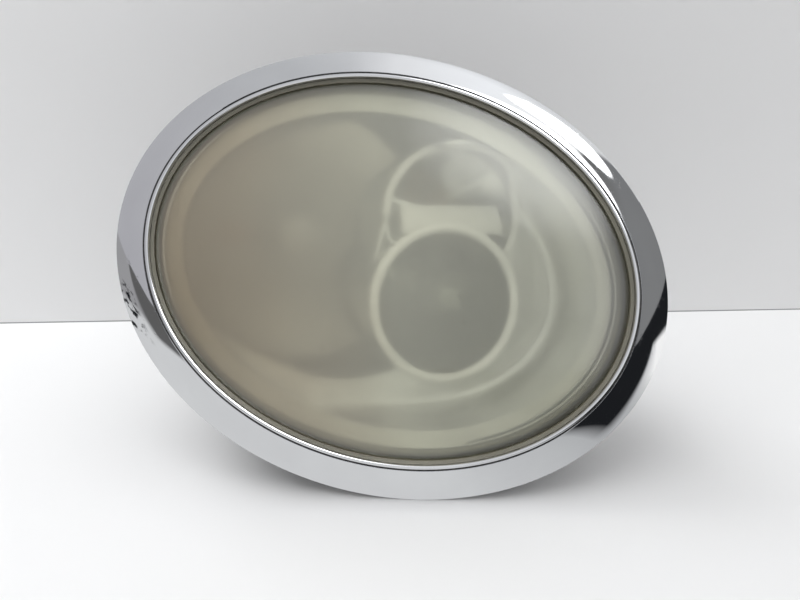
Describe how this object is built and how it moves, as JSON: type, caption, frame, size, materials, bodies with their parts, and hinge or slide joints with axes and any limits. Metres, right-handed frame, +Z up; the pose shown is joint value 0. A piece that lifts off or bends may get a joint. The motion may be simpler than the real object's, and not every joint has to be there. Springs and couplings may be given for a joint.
{
  "type": "car headlight",
  "caption": "Oval car headlight with a plated trim ring, hazed domed cover, projector low beam, indicator and main beam bowls, and a black housing with levelling motor and capped bulb ports.",
  "frame": {"origin": "on the surface it rests on, under the middle of the lamp as it stands on the lower edge of its trim ring and its two rear legs", "axes": "+X to the right along the oval as seen from in front, +Y from the front of the lamp to its rear, +Z up; the oval leans back and its right end hangs lower"},
  "size_m": [0.2667, 0.196, 0.2006],
  "materials": {
    "chrome_ring": "polished chrome plating, worn and specked",
    "spring_steel": "dull spring steel",
    "plated_steel": "zinc plated",
    "hazed_cover": "clear polycarbonate, hazed and yellowed",
    "seal_rubber": "matt black rubber",
    "cap_ring_rubber": "orange silicone rubber",
    "black_plastic": "moulded black plastic, fine grain",
    "grey_plastic": "moulded grey plastic",
    "nylon": "natural nylon",
    "bright_mask": "metallised plastic, satin bright",
    "reflector_mirror": "metallised mirror over moulded plastic",
    "dark_plate": "blackened steel",
    "projector_glass": "clear pressed glass",
    "bulb_glass": "clear quartz glass",
    "amber_glass": "amber glass",
    "brass_pins": "tinned brass",
    "wire_insulation": "coloured wire insulation"
  },
  "bodies": {
    "housing": {"trim_ring": "chrome_ring", "ring_clips": "spring_steel", "cover_lens": "hazed_cover", "lens_seal": "seal_rubber", "body_seal": "seal_rubber", "housing": "black_plastic", "fixing_sleeves": "plated_steel", "breather_cap": "seal_rubber", "connector_shell": "black_plastic", "connector_pins": "brass_pins", "levelling_motor": "black_plastic", "pivot_stud": "plated_steel", "aim_bush": "nylon", "inner_wires": "wire_insulation"},
    "ball_socket": {"pivot_socket": "nylon"},
    "optics": {"carrier_plate": "black_plastic", "bezel": "bright_mask", "carrier_screws": "plated_steel", "adjuster_sockets": "nylon", "main_reflector": "reflector_mirror", "main_bulb": "bulb_glass", "main_bulb_base": "plated_steel", "main_bulb_shield": "plated_steel", "side_bulb": "amber_glass", "side_holder": "grey_plastic", "low_lens": "projector_glass", "low_lens_holder": "plated_steel", "cutoff_plate": "dark_plate", "low_reflector": "reflector_mirror", "low_bulb": "bulb_glass", "low_bulb_base": "plated_steel", "indicator_reflector": "reflector_mirror"},
    "indicator_plug": {"indicator_bulb": "amber_glass", "indicator_holder": "grey_plastic"},
    "motor_spindle": {"motor_spindle": "nylon"},
    "aim_screw": {"aim_screw": "plated_steel"},
    "aim_knob": {"aim_knob": "black_plastic"},
    "main_clip": {"main_bulb_clip": "spring_steel"},
    "low_clip": {"low_bulb_clip": "spring_steel"},
    "main_cap": {"main_cap": "seal_rubber", "main_cap_seal": "cap_ring_rubber"},
    "low_cap": {"low_cap": "seal_rubber", "low_cap_seal": "cap_ring_rubber"},
    "indicator_cap": {"indicator_cap": "seal_rubber"}
  },
  "joints": [
    {"name": "aim_swing", "type": "hinge", "parent": "housing", "child": "ball_socket", "pos_m": [-0.04063, 0.00225, 0.04111], "axis": [0.2487, 0.3628, 0.8981], "range_deg": [-1.2, 1.2]},
    {"name": "levelling_tilt", "type": "hinge", "parent": "ball_socket", "child": "optics", "pos_m": [-0.04063, 0.00225, 0.04111], "axis": [0.9102, 0.2296, -0.3448], "range_deg": [-1.5, 1.5]},
    {"name": "spindle_slide", "type": "slide", "parent": "housing", "child": "motor_spindle", "axis": [0.3313, -0.9031, 0.2732], "range_m": [-0.0026, 0.0026]},
    {"name": "aim_screw_slide", "type": "slide", "parent": "housing", "child": "aim_screw", "axis": [-0.3313, 0.9031, -0.2732], "range_m": [-0.0011, 0.0011]},
    {"name": "aim_knob_turn", "type": "hinge", "parent": "housing", "child": "aim_knob", "pos_m": [-0.00953, 0.04759, 0.01418], "axis": [0.3313, -0.9031, 0.2732], "range_deg": [-245, 245]},
    {"name": "indicator_twist", "type": "hinge", "parent": "optics", "child": "indicator_plug", "pos_m": [0.01087, 0.03947, 0.10903], "axis": [0.3313, -0.9031, 0.2732], "range_deg": [0, 40]},
    {"name": "main_clip_swing", "type": "hinge", "parent": "optics", "child": "main_clip", "pos_m": [-0.07615, 0.01734, 0.10387], "axis": [0.2487, 0.3628, 0.8981], "range_deg": [0, 75]},
    {"name": "low_clip_swing", "type": "hinge", "parent": "optics", "child": "low_clip", "pos_m": [-0.01688, 0.02903, 0.06536], "axis": [0.2487, 0.3628, 0.8981], "range_deg": [0, 75]},
    {"name": "main_cap_pull", "type": "slide", "parent": "housing", "child": "main_cap", "axis": [-0.3313, 0.9031, -0.2732], "range_m": [0, 0.04]},
    {"name": "low_cap_pull", "type": "slide", "parent": "housing", "child": "low_cap", "axis": [-0.3313, 0.9031, -0.2732], "range_m": [0, 0.04]},
    {"name": "indicator_cap_pull", "type": "slide", "parent": "housing", "child": "indicator_cap", "axis": [-0.3313, 0.9031, -0.2732], "range_m": [0, 0.03]}
  ],
  "couplings": [
    {"joint": "spindle_slide", "follows": "levelling_tilt", "m_per_rad": 0.097},
    {"joint": "aim_screw_slide", "follows": "aim_swing", "m_per_rad": 0.048},
    {"joint": "aim_knob_turn", "follows": "aim_swing", "ratio": 201.06}
  ]
}
